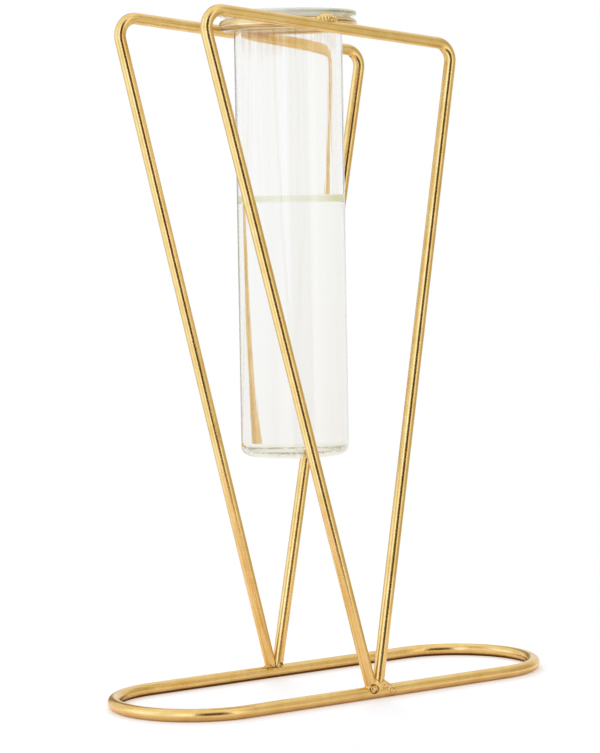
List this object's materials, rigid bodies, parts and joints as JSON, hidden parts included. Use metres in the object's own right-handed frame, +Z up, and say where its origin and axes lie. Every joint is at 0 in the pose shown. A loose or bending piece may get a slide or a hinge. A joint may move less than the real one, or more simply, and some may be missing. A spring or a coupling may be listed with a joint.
{
  "type": "test tube vase",
  "caption": "Slim flared glass test tube hung in a gold wire stand of two tall sloping triangles, a holder ring and a long oval base.",
  "frame": {"origin": "centre of the oval base, on the floor", "axes": "+X along the oval base towards the lower end of the top bars, +Y from the front frame to the rear frame, +Z up along the tube"},
  "size_m": [0.1748, 0.063, 0.235],
  "materials": {
    "gold_wire": "satin gold coat with a fine sandy grain over steel wire",
    "weld_gold": "the same gold coat over rough weld metal",
    "clear_glass": "clear polished glass with a faint olive tint at the rim"
  },
  "bodies": {
    "stand": {"base_ring": "gold_wire", "front_frame": "gold_wire", "rear_frame": "gold_wire", "holder_ring": "gold_wire", "foot_weld_front": "weld_gold", "foot_weld_rear": "weld_gold", "base_seam_weld": "weld_gold", "ring_weld_front": "weld_gold", "ring_weld_rear": "weld_gold"},
    "tube": {"test_tube": "clear_glass"}
  },
  "joints": [
    {"name": "tube_lift", "type": "slide", "parent": "stand", "child": "tube", "axis": [0, 0, 1], "range_m": [0, 0.16]}
  ]
}
